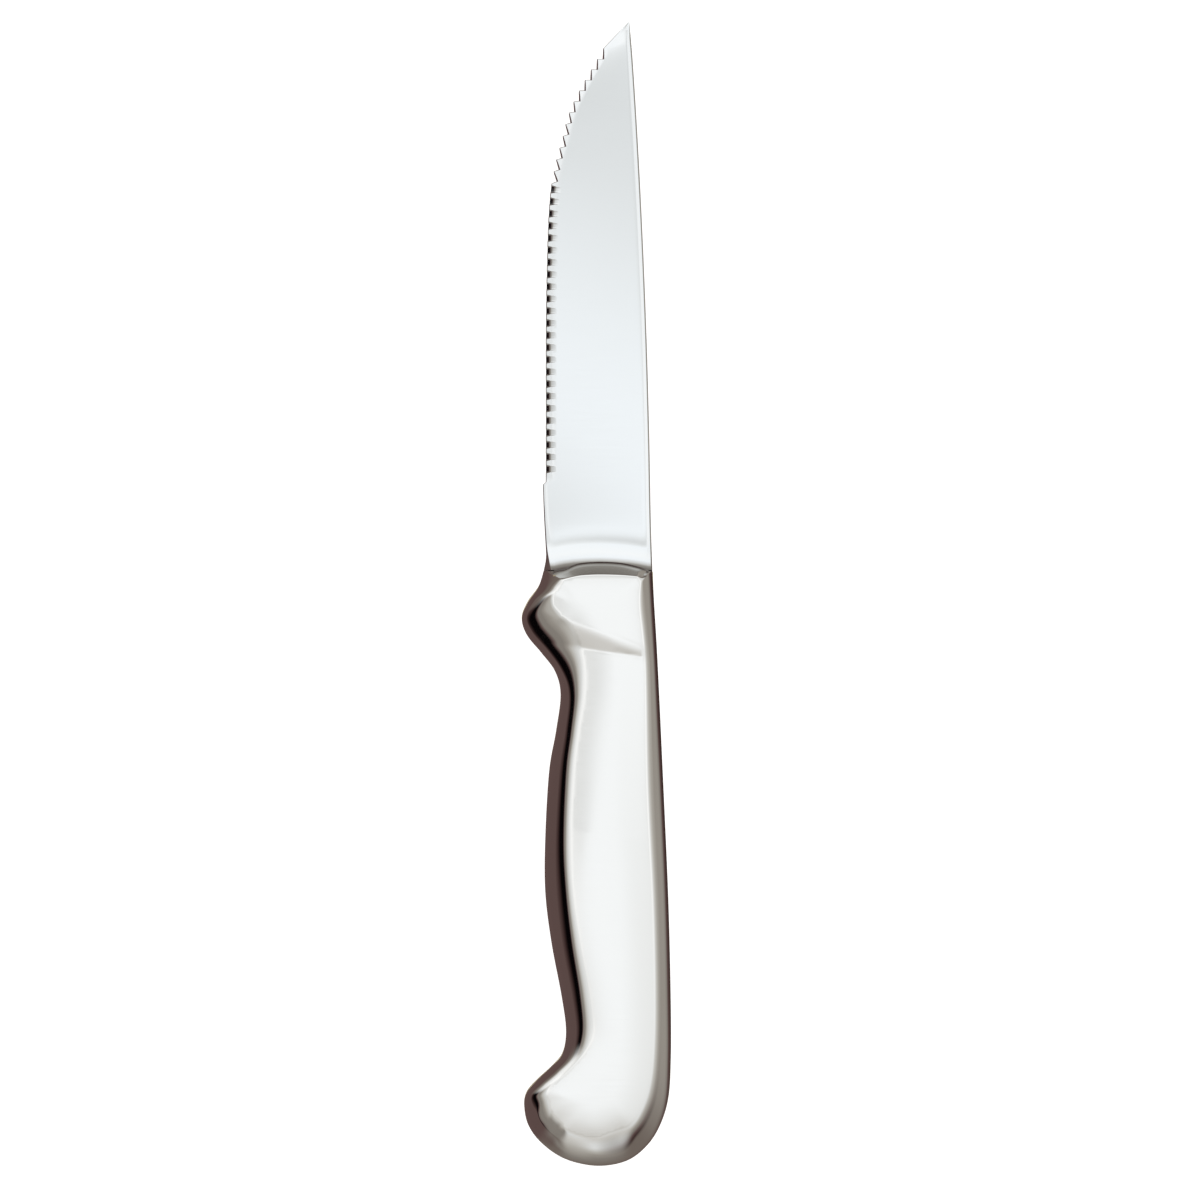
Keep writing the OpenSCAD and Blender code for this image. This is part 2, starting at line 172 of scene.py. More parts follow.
def rounding(
    t: Numbers,
    tight: Numbers,
    places: tuple[Numbers, Numbers],
    slopes: tuple[Numbers, Numbers, Numbers],
    fall: Numbers,
) -> tuple[Numbers, Numbers]:
    """Work out how a wall rounds over to a face: by an upright foot, a steep shoulder and an easy run.

    Args:
        t: The places along the rounding, from 0 at the wall's foot to 1 at the face.
        tight: How closely the foot's curve follows its corner, from 0 to 1.
        places: Where the foot and the shoulder end, as shares of the rounding's width.
        slopes: The slopes at those two places and at the face, as shares of the rise for the whole width.
        fall: The power by which the slope falls along the run.

    Returns:
        The shares of the width and of the rise at each place.
    """
    (steep_at, easy_at), (steep, easy, end) = places, slopes
    spans = (
        (easy_at - steep_at, steep, easy, 1, FOOT_SHARE, SHOULDER_SHARE),
        (1 - easy_at, easy, end, fall, SHOULDER_SHARE, 1),
    )
    steep_up = 1 - sum(length * (to + (begin - to) / (power + 1)) for length, begin, to, power, *_ in spans)
    corner = steep_up - steep * steep_at
    foot = np.clip(t / FOOT_SHARE, 0, 1)
    first, second, third = 3 * (1 - foot) ** 2 * foot, 3 * (1 - foot) * foot**2, foot**3
    lean = (1 - tight) * steep_at
    across = second * lean + third * steep_at
    up = first * tight * corner + second * (corner + steep * lean) + third * steep_up
    for length, begin, to, power, from_t, to_t in spans:
        run = np.clip((t - from_t) / (to_t - from_t), 0, 1)
        across = across + length * run
        up = up + length * (to * run + (begin - to) * (1 - (1 - run) ** (power + 1)) / (power + 1))
    return across, up


def add_node(tree: NodeTree, kind: str, inputs: dict, **settings: object) -> Node:
    """Add a node to a tree, with its settings, its values and its links.

    Args:
        tree: The tree that gets the node.
        kind: The node's type.
        inputs: What each input gets, by the input's name or number: a socket or node to link, or a value.
        **settings: The node's properties.

    Returns:
        The new node.
    """
    node = tree.nodes.new(kind)
    for name, value in settings.items():
        setattr(node, name, value)
    for name, value in inputs.items():
        if isinstance(value, Node):
            value = value.outputs[0]
        if isinstance(value, NodeSocket):
            tree.links.new(value, node.inputs[name])
        else:
            node.inputs[name].default_value = value
    return node


def loft_faces(rings: int, count: int, first: int = 0) -> list[list[int]]:
    """Join rings of points that follow one another in a mesh.

    Args:
        rings: The number of rings.
        count: The points of each ring.
        first: The number of the first ring's first point.

    Returns:
        The faces between the rings.
    """
    return [
        [start + i, start + count + i, start + count + j, start + j]
        for start in range(first, first + (rings - 1) * count, count)
        for i, j in ((i, (i + 1) % count) for i in range(count))
    ]


def outward(made: Object) -> Object:
    """Merge the doubles of a closed mesh and turn all its faces outwards.

    Args:
        made: The object, whose mesh is changed.

    Returns:
        The same object.
    """
    work = bmesh.new()
    work.from_mesh(made.data)
    bmesh.ops.remove_doubles(work, verts=work.verts, dist=MERGE_DISTANCE)
    bmesh.ops.recalc_face_normals(work, faces=work.faces)
    work.to_mesh(made.data)
    work.free()
    return made


def baked(made: Object) -> Object:
    """Turn an object's modifiers into its plain mesh.

    Args:
        made: The object, which keeps its name.

    Returns:
        The same object, with no modifiers left.
    """
    graph = bpy.context.evaluated_depsgraph_get()
    done = bpy.data.meshes.new_from_object(made.evaluated_get(graph), depsgraph=graph)
    made.modifiers.clear()
    made.data = done
    return made


def worked(made: Object, work: Work, tool: Object) -> Object:
    """Cut one closed mesh with another, or join the two.

    Args:
        made: The object that is changed.
        work: Whether it is cut or joined.
        tool: The other object, which is deleted.

    Returns:
        The changed object.
    """
    step = made.modifiers.new(work.name, "BOOLEAN")
    step.operation = work.value
    step.solver = "EXACT"
    step.object = tool
    baked(made)
    bpy.data.objects.remove(tool)
    return made


def grown(tree: NodeTree, made: Object, values: dict) -> Object:
    """Run a geometry tree on an object and keep its result as the object's mesh.

    Args:
        tree: The geometry tree.
        made: The object that the tree works on.
        values: What each named input of the tree gets.

    Returns:
        The same object, with its new mesh.
    """
    step = made.modifiers.new(tree.name, "NODES")
    step.node_group = tree
    for item in tree.interface.items_tree:
        if item.item_type == "SOCKET" and item.in_out == "INPUT" and item.name in values:
            step[item.identifier] = values[item.name]
    return baked(made)


def geometry_tree(name: str, sockets: dict[str, str]) -> tuple[NodeTree, NodeInputs]:
    """Start a geometry tree with a Geometry input and output and some named inputs.

    Args:
        name: The tree's name.
        sockets: The type of each further input, by name.

    Returns:
        The tree and the sockets that give its inputs.
    """
    tree = bpy.data.node_groups.new(name, "GeometryNodeTree")
    tree.interface.new_socket("Geometry", in_out="OUTPUT", socket_type="NodeSocketGeometry")
    tree.interface.new_socket("Geometry", in_out="INPUT", socket_type="NodeSocketGeometry")
    for title, kind in sockets.items():
        tree.interface.new_socket(title, in_out="INPUT", socket_type=kind)
    return tree, tree.nodes.new("NodeGroupInput").outputs


def finish_tree(tree: NodeTree, shape: NodeSocket, finish: NodeSocket) -> None:
    """End a geometry tree: make its instances real, set their material and send them out.

    Args:
        tree: The tree.
        shape: The socket that holds the finished shape.
        finish: The socket that holds the material.
    """
    add = partial(add_node, tree)
    real = add("GeometryNodeRealizeInstances", {"Geometry": shape})
    done = add("GeometryNodeSetMaterial", {"Geometry": real, "Material": finish})
    add("NodeGroupOutput", {"Geometry": done})


def dressed(made: Object, name: str, node: str, crease_angle: float) -> Object:
    """Shade a finished piece smooth, name it and hide the CAD node that it stands for.

    Args:
        made: The piece.
        name: Its name.
        node: The CAD node that it replaces.
        crease_angle: The angle between two faces, in degrees, from which their edge stays crisp.

    Returns:
        The same piece, which rides on the knife's one body.
    """
    faces = made.data.polygons
    faces.foreach_set("use_smooth", [True] * len(faces))
    made.data.set_sharp_from_angle(angle=math.radians(crease_angle))
    made.name = name
    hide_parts(node)
    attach(made, "root")
    LOG.info("%s: %d faces", name, len(faces))
    return made


def added(name: str, data: ID) -> Object:
    """Add an object to the scene, at the frame's origin.

    Args:
        name: The object's name.
        data: What it holds, such as a mesh.

    Returns:
        The new object.
    """
    made = bpy.data.objects.new(name, data)
    bpy.context.scene.collection.objects.link(made)
    return made


def emptied(holder: Material | World) -> Callable[..., Node]:
    """Give a new material or world an empty tree.

    Args:
        holder: The material or world.

    Returns:
        The function that adds a node to its tree.
    """
    holder.use_nodes = True
    holder.node_tree.nodes.clear()
    return partial(add_node, holder.node_tree)


def coated(made: Object, finish: Material) -> Object:
    """Give an object one material all over.

    Args:
        made: The object.
        finish: The material.

    Returns:
        The same object.
    """
    made.data.materials.clear()
    made.data.materials.append(finish)
    return made


@dataclass(frozen=True)
class Place:
    """A point of the frame, in metres, from which meshes are measured."""

    corner: tuple[float, float, float]

    @classmethod
    def from_blade(cls, blade_length: float) -> "Place":
        """Find the shoulder's spine corner from the box of the CAD blade.

        Args:
            blade_length: The length from the shoulder to the tip, in millimetres.

        Returns:
            The place of the corner, at the height of the seam.
        """
        low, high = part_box("blade")
        return cls((high.x, high.y - blade_length * MM, (low.z + high.z) / 2))

    def mesh(
        self, name: str, points: np.ndarray, faces: Sequence, edges: Sequence[tuple[int, int]] = ()
    ) -> Object:
        """Make an object at the frame's origin from points in millimetres.

        Args:
            name: The object's name.
            points: The points, one a row, measured from this place.
            faces: The faces, as lists of point numbers.
            edges: Loose edges, as pairs of point numbers.

        Returns:
            The new object, linked to the scene.
        """
        data = bpy.data.meshes.new(name)
        spots = (points * MM + np.array(self.corner)).tolist()
        data.from_pydata(spots, list(edges), [list(face) for face in faces])
        data.update()
        return added(name, data)

    def loft(self, name: str, rings: Sequence[np.ndarray]) -> Object:
        """Make a closed object through rings of points, with one face on each end.

        Args:
            name: The object's name.
            rings: The rings, from one end to the other, with as many points each.

        Returns:
            The new object.
        """
        count = len(rings[0])
        total = len(rings) * count
        ends = [range(count), range(total - 1, total - count - 1, -1)]
        return outward(self.mesh(name, np.vstack(rings), loft_faces(len(rings), count) + ends))


ORIGIN = Place((0.0, 0.0, 0.0))


@dataclass(frozen=True)
class FinishedSteel:
    """Stainless steel that a fine wheel has finished across the knife.

    It mirrors the room, a little softly. The wheel leaves hairlines, which show as a slight unevenness of
    the gloss and as faint streaks where the mirrored tone changes. Real hairlines are about 0.03 mm apart,
    too fine to show, so they are drawn ten times as coarse.
    """

    name: str
    colour: str
    smoothest: float
    roughest: float
    hairline_pitch: float = 0.3
    hairline_length: float = 8.0
    hairline_depth: float = 0.0004
    grain_detail: float = 3.0
    grain_roughness: float = 0.6
    low_grain: float = 0.3
    high_grain: float = 0.7

    def material(self) -> Material:
        """Build the material: a bare metal whose gloss and relief follow the hairlines."""
        made = bpy.data.materials.new(self.name)
        add = emptied(made)
        place = add("ShaderNodeTexCoord", {}).outputs["Object"]
        fine = 1 / (self.hairline_pitch * MM)
        stretch = (1 / (self.hairline_length * MM), fine, fine)
        lines = add("ShaderNodeMapping", {"Vector": place, "Scale": stretch})
        grain = add("ShaderNodeTexNoise", {
            "Vector": lines, "Scale": 1.0, "Detail": self.grain_detail, "Roughness": self.grain_roughness,
        })
        gloss = add("ShaderNodeMapRange", {
            "Value": grain, "From Min": self.low_grain, "From Max": self.high_grain,
            "To Min": self.smoothest, "To Max": self.roughest,
        })
        relief = add("ShaderNodeBump", {"Distance": self.hairline_depth * MM, "Height": grain})
        steel = add("ShaderNodeBsdfPrincipled", {
            "Base Color": linear(self.colour), "Metallic": 1.0, "Roughness": gloss, "Normal": relief,
        })
        add("ShaderNodeOutputMaterial", {"Surface": steel})
        return made


@dataclass(frozen=True)
class MottledFill:
    """A fill that is poured or run in and then sets, with a grain of two colours and a fine relief."""

    name: str
    colour: str
    second_colour: str
    metallic: float
    roughness: float
    grain_size: float
    relief_depth: float
    grain_detail: float = 4.0

    def material(self) -> Material:
        """Build the material: its colour and its relief follow the same grain."""
        made = bpy.data.materials.new(self.name)
        add = emptied(made)
        place = add("ShaderNodeTexCoord", {}).outputs["Object"]
        scale = 1 / (self.grain_size * MM)
        grain = add("ShaderNodeTexNoise", {"Vector": place, "Scale": scale, "Detail": self.grain_detail})
        tone = add("ShaderNodeMix", {
            0: grain, "A": linear(self.colour), "B": linear(self.second_colour),
        }, data_type="RGBA")
        relief = add("ShaderNodeBump", {"Distance": self.relief_depth * MM, "Height": grain})
        fill = add("ShaderNodeBsdfPrincipled", {
            "Base Color": tone.outputs[2], "Metallic": self.metallic, "Roughness": self.roughness,
            "Normal": relief,
        })
        add("ShaderNodeOutputMaterial", {"Surface": fill})
        return made


@dataclass
class BladeForging:
    """The forging: blade, teeth, plain heel, bolster, root and tang. Lengths are in millimetres."""

    place: Place
    blade_length: float = 108.0
    blade_width: float = 21.0
    spine_thickness: float = 1.6
    tip_thickness: float = 1.0
    body_thickness: float = 0.7
    edge_thickness: float = 0.16
    crest_width: float = 0.15
    bevel_width: float = 0.45
    tooth_bevel: float = 1.35
    bevel_slope: float = 4.0
    spine_crest: float = 0.3
    spine_band: float = 0.7
    band_slope: float = 4.0
    point_width: float = 0.3
    tooth_pitch: float = 2.4
    notch_depth: float = 1.1
    notch_run: float = 1.85
    notch_wall: float = 0.4
    flute_depth: float = 0.2
    flute_floor: float = 0.9
    flute_width: float = 2.36
    flute_height: float = 2.0
    flute_reach: float = 3.0
    flute_bend: float = 0.4
    flute_ease: float = 0.5
    flute_wall_curve: float = 2.4
    edge_angle: float = 24.5
    inner_angle: float = 7.0
    heel_length: float = 17.4
    heel_step: float = 0.6
    root_thickness: float = 4.2
    bolster_edge: float = 0.6
    bolster_round: float = 1.9
    fillet_length: float = 5.0
    fillet_radius: float = 6.9
    fillet_end: float = 0.3
    fillet_fade: float = 3.0
    edge_bow: float = 1.6
    spine_bow: float = 1.2
    root_length: float = 4.5
    root_edge_inset: float = 2.0
    root_spine_inset: float = 1.3
    tang_length: float = 78.0
    tang_width: float = 9.0
    tang_end_width: float = 6.0
    tang_thickness: float = 3.2
    notch_radius: float = 1.0
    notch_pitch: float = 18.0
    overrun: float = 0.3

    crest_angles: tuple[float, float] = (50.0, 22.0)
    crest_shares: tuple[float, float] = (0.8, 0.9)
    face_shares: tuple[float, ...] = (0, 0.04, 0.1, 0.2, 0.35, 0.5, 0.65, 0.8, 0.9, 0.96, 1)
    bow_middle_share: float = 0.51
    notched_share: float = 0.33
    crest_tight: float = 0.6
    crest_most_share: float = 0.9
    point_slope_share: float = 0.3
    narrow_share: float = 0.42
    edge_most_share: float = 0.6
    spine_flat_share: float = 0.4
    heel_power: int = 3
    band_steps: int = 4
    tang_end_share: float = 0.06
    section_steps: int = 12
    fillet_steps: int = 40
    heel_steps: int = 16
    tooth_steps: int = 90
    clip_steps: int = 10
    round_steps: int = 24
    notch_steps: int = 13
    line_steps: int = 400
    flute_steps: tuple[int, int] = (5, 15)
    fillet_overrun: float = 4.0
    crease_angle: float = 25.0
    # Each row: how far along from the shoulder, as a share of the blade's length, or of the heel's own, and
    # how far across from the spine corner, as a share of the blade's width.
    spine_shares: Rows = (
        (0, 0), (0.09, -0.014), (0.24, -0.028), (0.42, -0.053), (0.6, -0.089),
        (0.785, -0.137), (0.93, -0.184), (1, -0.214),
    )
    heel_shares: Rows = ((0, -1.018), (0.14, -0.998), (0.34, -1.004), (0.6, -1.016), (1, -1.028))
    tooth_shares: Rows = (
        (0.161, -1), (0.3, -1), (0.46, -0.999), (0.57, -0.988), (0.64, -0.976), (0.697, -0.953),
        (0.743, -0.912), (0.787, -0.851), (0.831, -0.793), (0.87, -0.705), (0.91, -0.59), (0.953, -0.46),
    )

    @property
    def clip_start(self) -> float:
        """The distance from the shoulder to the corner where the clip starts."""
        return self.tooth_shares[-1][0] * self.blade_length

    @property
    def bare_start(self) -> float:
        """The distance from the shoulder to where the fillet runs out on the blade."""
        return self.fillet_end + self.fillet_length

    def spine_x(self, y: Numbers) -> Numbers:
        """Return where the spine lies at each distance from the shoulder."""
        return smooth(self.spine_shares, y / self.blade_length) * self.blade_width

    def tooth_x(self, y: Numbers) -> Numbers:
        """Return where the line of the tooth points lies at each distance from the shoulder."""
        return smooth(self.tooth_shares, y / self.blade_length) * self.blade_width

    def heel_x(self, y: Numbers) -> Numbers:
        """Find the plain heel's edge, which drifts to end a step inside the line of the tooth points.

        Args:
            y: The distances from the shoulder.

        Returns:
            Where the edge lies at each distance.
        """
        end = self.heel_shares[-1][1] * self.blade_width
        drift = self.tooth_shares[0][1] * self.blade_width - self.heel_step - end
        share = y / self.heel_length
        return smooth(self.heel_shares, share) * self.blade_width + drift * share

    def clip_x(self, y: Numbers) -> Numbers:
        """Find the straight clip at the point.

        Args:
            y: The distances from the shoulder.

        Returns:
            Where the clip lies at each distance.
        """
        start = self.tooth_x(self.clip_start)
        end = self.spine_x(self.blade_length) - self.point_width
        return mix(start, end, (y - self.clip_start) / (self.blade_length - self.clip_start))

    def edge_x(self, y: Numbers) -> Numbers:
        """Return where the edge lies, from the heel over the teeth to the clip."""
        beyond_heel = np.where(y < self.clip_start, self.tooth_x(y), self.clip_x(y))
        return np.where(y < self.heel_length, self.heel_x(y), beyond_heel)

    def fillet_rise(self, x: np.ndarray, y: float) -> np.ndarray:
        """Return how far the hollow fillet rises above the blade's bare face.

        Args:
            x: The places across the blade.
            y: The distance from the shoulder.

        Returns:
            The rise at each place. The fillet is bowed: it sets in later towards the edge and the spine.
        """
        aside = x / self.blade_width + self.bow_middle_share
        bow = np.where(aside < 0, self.edge_bow, self.spine_bow) * (2 * aside) ** 2
        run = self.bare_start - y - bow
        reach = (run + np.sqrt(run**2 + self.fillet_fade**2)) / 2
        return self.fillet_radius - np.sqrt(self.fillet_radius**2 - reach**2)

    def crest(self, crest: float, band: float, rise: float, slope: float) -> tuple[np.ndarray, np.ndarray]:
        """Work out a ground corner: a steep crest, and a band from there to the face.

        Args:
            crest: The crest's width.
            band: The band's width.
            rise: The rise of both.
            slope: The band's slope, in degrees.

        Returns:
            The distances across and up from the corner's foot.
        """
        drop = min(band * math.tan(math.radians(slope)), rise / 2)
        angles = (*self.crest_angles, slope)
        slopes = tuple(math.tan(math.radians(angle)) * crest / (rise - drop) for angle in angles)
        steps = np.linspace(0, 1, self.section_steps)
        across, up = rounding(steps, self.crest_tight, self.crest_shares, slopes, 1)
        share = np.linspace(0, 1, self.band_steps + 1)[1:]
        return (
            np.concatenate([across * crest, crest + share * band]),
            np.concatenate([up * (rise - drop), rise - drop + share * drop]),
        )

    def section(self, y: float, gap: float = 0.0) -> np.ndarray:
        """Work out one closed section across the blade.

        Args:
            y: The distance from the shoulder.
            gap: How far the section stands out all round.

        Returns:
            The points of the section, from the edge over the upper face to the spine and back below.
        """
        edge, spine = float(self.edge_x(y)), self.spine_x(y)
        width = spine - edge
        heel = max(1 - y / self.heel_length, 0) ** self.heel_power
        along = max((y - self.bare_start) / (self.blade_length - self.bare_start), 0)
        limit = self.edge_thickness / 2 + self.point_slope_share * width
        narrow = min(1.0, self.narrow_share * width / (self.crest_width + self.tooth_bevel))
        crest = narrow * mix(self.crest_width, self.bolster_round, heel)
        toothed = self.heel_length < y < self.clip_start
        left = edge + crest + narrow * (self.tooth_bevel if toothed else self.bevel_width)
        right = spine - narrow * (self.spine_crest + self.spine_band)
        face_x = mix(left, right, np.array(self.face_shares))
        ground = max(edge, self.tooth_x(y)) + narrow * (self.crest_width + self.tooth_bevel)
        spine_thick = mix(self.spine_thickness, self.tip_thickness, along)
        bare = mix(self.body_thickness, spine_thick, (face_x - ground) / (right - ground))
        face_z = np.minimum(limit, bare / 2) + self.fillet_rise(face_x, y)
        edge_thick = mix(self.edge_thickness, self.bolster_edge, heel)
        edge_half = min(face_z[0] * self.edge_most_share, edge_thick / 2)
        spine_half = self.spine_flat_share * face_z[-1]
        rise = face_z[0] - edge_half
        crest = min(crest, self.crest_most_share * rise)
        edge_x, edge_z = self.crest(crest, left - edge - crest, rise, self.bevel_slope)
        spine_x, spine_z = self.crest(
            narrow * self.spine_crest, narrow * self.spine_band, face_z[-1] - spine_half, self.band_slope
        )
        face = np.vstack([
            np.column_stack([edge + edge_x, edge_half + edge_z]),
            np.column_stack([face_x, face_z])[1:-1],
            np.column_stack([spine - spine_x, spine_half + spine_z])[::-1],
        ])
        face[:, 1] += gap
        face[0, 0] -= gap
        face[-1, 0] += gap
        ring = np.vstack([face, face[::-1] * [1, -1]])
        return np.column_stack([ring[:, 0], np.full(len(ring), y), ring[:, 1]])

    def body(self, stations: np.ndarray, gap: float = 0.0) -> Object:
        """Loft the blade through its sections.

        Args:
            stations: The distances from the shoulder at which sections are taken.
            gap: How far the loft stands out all round.

        Returns:
            The closed loft.
        """
        sections = [self.section(float(y), gap) for y in stations]
        count = len(sections[0])
        last = (len(sections) - 1) * count
        caps = []
        for i in range(count // 2 - 1):
            caps.append((i, i + 1, count - 2 - i, count - 1 - i))
            caps.append((last + count - 1 - i, last + count - 2 - i, last + i + 1, last + i))
        faces = loft_faces(len(sections), count) + caps
        return outward(self.place.mesh("blade_body", np.vstack(sections), faces))

    def bolster_stations(self) -> np.ndarray:
        """Return the stations from the shoulder to beyond the end of the fillet."""
        end = self.bare_start + self.fillet_overrun
        return np.concatenate([[0], np.linspace(self.fillet_end, end, self.fillet_steps)])

    def stations(self) -> np.ndarray:
        """Set out the stations of the whole blade.

        Returns:
            Their distances from the shoulder, up to the tip.
        """
        bolster = self.bolster_stations()
        heel = np.linspace(bolster[-1], self.heel_length, self.heel_steps)[1:]
        teeth = np.linspace(self.heel_length + self.heel_step, self.clip_start, self.tooth_steps)
        clip = np.linspace(self.clip_start, self.blade_length, self.clip_steps)[1:]
        return np.concatenate([bolster, heel, teeth, clip])

    def root(self, gap: float = 0.0) -> Object:
        """Build the bar that passes through the handle's mouth, with round sides.

        Args:
            gap: How far the bar stands out all round.

        Returns:
            The bar.
        """
        radius = self.root_thickness / 2
        edge = self.edge_x(0.0) + self.root_edge_inset + radius
        spine = self.spine_x(0.0) - self.root_spine_inset - radius
        turn = np.linspace(math.pi / 2, 3 * math.pi / 2, self.round_steps)
        plan = np.vstack([
            np.column_stack([
                middle + (radius + gap) * np.cos(angles), 0 * angles, (radius + gap) * np.sin(angles)
            ])
            for middle, angles in ((edge, turn), (spine, turn + math.pi))
        ])
        return self.place.loft("root", [plan + [0, end, 0] for end in (self.overrun, -self.root_length)])

    def tang(self, handle: "HollowHandle") -> Object:
        """Build the notched tang, which tapers to its end inside the handle.

        Args:
            handle: The handle that it runs into.

        Returns:
            The tang.
        """
        start_x = -self.blade_width / 2
        end_x = (self.tang_end_share - handle.corner_share) * handle.handle_width
        notches = int((self.tang_length - self.root_length - self.notch_pitch / 2) / self.notch_pitch)
        sides = {}
        for side in (-1, 1):
            rows = [(start_x + side * self.tang_width / 2, self.overrun - self.root_length)]
            for k in range(1, notches + 1):
                y = -self.root_length - k * self.notch_pitch
                share = -y / self.tang_length
                half = mix(self.tang_width, self.tang_end_width, share) / 2
                x = mix(start_x, end_x, share) + side * half
                for angle in np.linspace(0, math.pi, self.notch_steps):
                    reach = self.notch_radius * math.sin(angle)
                    rows.append((x - side * reach, y + self.notch_radius * math.cos(angle)))
            rows.append((end_x + side * self.tang_end_width / 2, -self.tang_length))
            sides[side] = rows
        outline = np.array(sides[-1] + sides[1][::-1])
        plan = np.column_stack([outline, np.zeros(len(outline))])
        lift = np.array([0, 0, self.tang_thickness / 2])
        return self.place.loft("tang", [plan + lift, plan - lift])

    def tooth_line(self) -> tuple[Object, int]:
        """Draw the line of the tooth points from the clip back to the heel.

        Returns:
            The line as an object with one edge after another, and how many teeth it has room for.
        """
        y = np.linspace(self.clip_start, self.heel_length + self.heel_step, self.line_steps)
        points = np.column_stack([self.tooth_x(y), y, np.zeros(len(y))])
        length = np.linalg.norm(np.diff(points, axis=0), axis=1).sum()
        edges = [(i, i + 1) for i in range(len(y) - 1)]
        return self.place.mesh("tooth_line", points, [], edges), int(length / self.tooth_pitch)

    def notch_cutter(self) -> Object:
        """Build the cutter for one notch between the teeth at the tip: a slanting three-cornered wedge.

        Returns:
            The cutter, at the origin: +X goes into the blade from the tooth line, and +Y towards the tip.
        """
        half = self.tooth_pitch / 2
        bottom = np.array([self.notch_depth, half - self.notch_run])
        plan = np.array([bottom, 2 * np.array([0, half]) - bottom, 2 * np.array([0, -half]) - bottom])
        plan = np.column_stack([plan, np.zeros(len(plan))])
        spread = np.array([[self.notch_wall, 0, 0], [0, self.notch_wall, 0], [0, -self.notch_wall, 0]])
        reach = spread + [0, 0, self.body_thickness]
        return ORIGIN.loft("notch_cutter", [plan + reach, plan - reach])

    def flute_cutter(self) -> Object:
        """Build the cutter for one flute, with curved walls and a floor that is steep only at the edge.

        Returns:
            The cutter, at the origin: +X goes into the blade from the tooth line, and +Y towards the tip.
        """
        edge_slope, inner_slope = (math.tan(math.radians(a)) for a in (self.edge_angle, self.inner_angle))
        aside = np.linspace(-0.5, 0.5, self.flute_steps[1]) * self.flute_width
        walls = self.flute_wall_curve * np.maximum(np.abs(aside) - self.flute_floor / 2, 0) ** 2
        bend = (self.flute_bend, self.flute_bend + self.flute_ease)
        eased = np.linspace(*bend, self.flute_steps[0])
        along = np.concatenate([[-self.flute_reach], eased, [self.flute_reach]])
        slopes = np.interp(along, bend, (edge_slope, inner_slope))
        rises = (slopes[1:] + slopes[:-1]) / 2 * np.diff(along)
        floors = np.concatenate([[0], np.cumsum(rises)]) - self.flute_reach * edge_slope
        over = [(aside[-1], self.flute_height), (aside[0], self.flute_height)]
        rings = []
        for x, floor in zip(along, floors):
            ring = np.vstack([np.column_stack([aside, floor + walls - self.edge_thickness / 2]), over])
            rings.append(np.column_stack([np.full(len(ring), x + self.flute_depth), ring]))
        return ORIGIN.loft("flute_cutter", rings)

    def tooth_tree(self) -> NodeTree:
        """Build the tree that cuts one tooth for each pitch: notches near the tip, flutes from there on.

        Returns:
            The geometry tree.
        """
        thing = "NodeSocketObject"
        tree, given = geometry_tree("ground_teeth", {
            "Tooth Line": thing, "Notch Cutter": thing, "Flute Cutter": thing, "Count": "NodeSocketInt",
            "Pitch": "NodeSocketFloat", "Notched Share": "NodeSocketFloat", "Finish": "NodeSocketMaterial",
        })
        add = partial(add_node, tree)
        count, pitch = given["Count"], given["Pitch"]
        drawn = add("GeometryNodeObjectInfo", {"Object": given["Tooth Line"]})
        line = add("GeometryNodeMeshToCurve", {"Mesh": drawn.outputs["Geometry"]})
        half = add("ShaderNodeMath", {0: pitch, 1: 0.5}, operation="MULTIPLY")
        length = add("ShaderNodeMath", {0: pitch, 1: count}, operation="MULTIPLY")
        end = add("ShaderNodeMath", {0: length, 1: half}, operation="SUBTRACT")
        middles = add("GeometryNodeTrimCurve", {"Curve": line, 4: half, 5: end}, mode="LENGTH")
        spots = add("GeometryNodeCurveToPoints", {"Curve": middles, "Count": count}, mode="COUNT")
        back = spots.outputs["Tangent"]
        to_tip = add("ShaderNodeVectorMath", {0: back, "Scale": -1.0}, operation="SCALE")
        turn = add("FunctionNodeAlignRotationToVector", {"Vector": to_tip}, axis="Y", pivot_axis="Z")
        notched = add("ShaderNodeMath", {0: count, 1: given["Notched Share"]}, operation="MULTIPLY")
        number = add("GeometryNodeInputIndex", {})
        near_tip = add("ShaderNodeMath", {0: number, 1: notched}, operation="LESS_THAN")
        beyond = add("ShaderNodeMath", {0: 1.0, 1: near_tip}, operation="SUBTRACT")
        cutters = add("GeometryNodeJoinGeometry", {})
        for name, chosen in (("Notch Cutter", near_tip), ("Flute Cutter", beyond)):
            cutter = add("GeometryNodeObjectInfo", {"Object": given[name]}).outputs["Geometry"]
            placed = add("GeometryNodeInstanceOnPoints", {
                "Points": spots, "Selection": chosen, "Instance": cutter, "Rotation": turn,
            })
            tree.links.new(placed.outputs[0], cutters.inputs[0])
        ground = add("GeometryNodeMeshBoolean", {
            "Mesh 1": given["Geometry"], "Mesh 2": cutters, "Self Intersection": True,
        }, operation=Work.CUT.value, solver="EXACT")
        finish_tree(tree, ground.outputs["Mesh"], given["Finish"])
        return tree

    def build(self, handle: "HollowHandle", finish: Material) -> Object:
        """Build the forging and grind its teeth.

        Args:
            handle: The handle that the tang runs into.
            finish: The steel's material.

        Returns:
            The finished piece.
        """
        made = self.body(self.stations())
        for part in (self.root(), self.tang(handle)):
            worked(made, Work.JOIN, part)
        line, teeth = self.tooth_line()
        notch, flute = self.notch_cutter(), self.flute_cutter()
        grown(self.tooth_tree(), made, {
            "Tooth Line": line, "Notch Cutter": notch, "Flute Cutter": flute, "Count": teeth,
            "Pitch": self.tooth_pitch * MM, "Notched Share": self.notched_share, "Finish": finish,
        })
        for tool in (line, notch, flute):
            bpy.data.objects.remove(tool)
        return dressed(made, "forged_blade", "blade", self.crease_angle)


